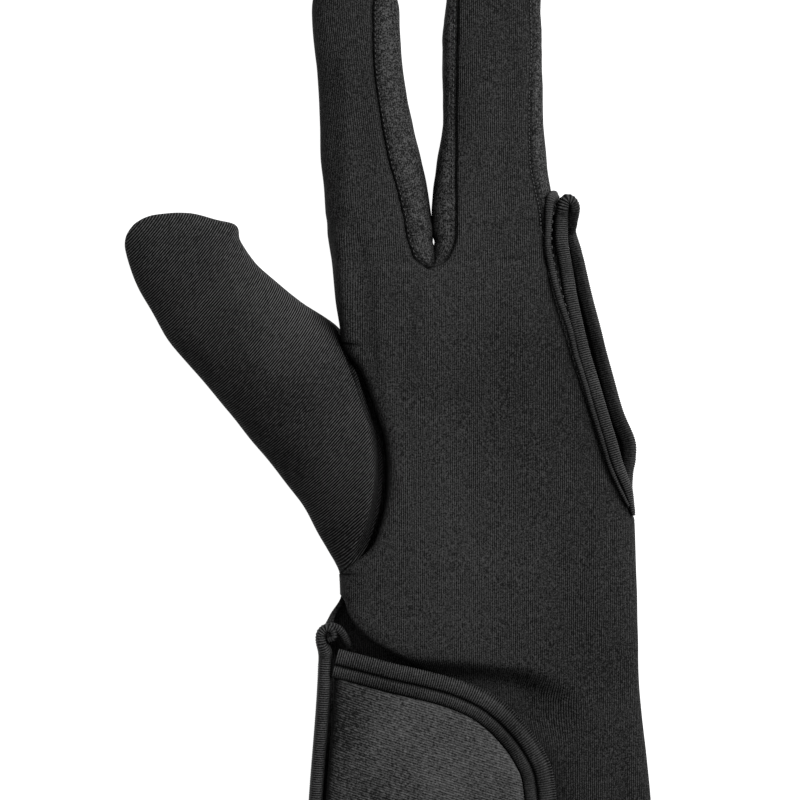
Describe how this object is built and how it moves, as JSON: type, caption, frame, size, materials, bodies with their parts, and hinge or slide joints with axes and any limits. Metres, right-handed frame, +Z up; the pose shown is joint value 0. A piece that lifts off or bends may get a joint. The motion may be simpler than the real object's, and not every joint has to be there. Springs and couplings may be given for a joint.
{
  "type": "three-finger heat glove",
  "caption": "Knitted heat glove for thumb, index and middle finger, open at the side for the other fingers, with a bound wrist strap.",
  "frame": {"origin": "centre of the glove's outline on the surface that it lies on", "axes": "+Y from the cuff to the fingertips, +X from the thumb towards the side opening, +Z up out of the surface, through the back panel and then the front panel"},
  "size_m": [0.1484, 0.26, 0.0201],
  "materials": {
    "black_knit": "matt",
    "fourchette_knit": "matt",
    "binding_tape": "matt",
    "brushed_strap": "matt",
    "hook_patch": "matt"
  },
  "bodies": {
    "root": {"front_panel": "black_knit", "back_panel": "black_knit", "thumb": "black_knit", "inner_fourchette": "fourchette_knit", "outer_fourchette": "fourchette_knit", "opening_binding": "binding_tape", "hem_binding": "binding_tape", "strap_binding": "binding_tape", "strap_joint_binding": "binding_tape", "strap": "brushed_strap", "hook_patch": "hook_patch"}
  },
  "joints": []
}
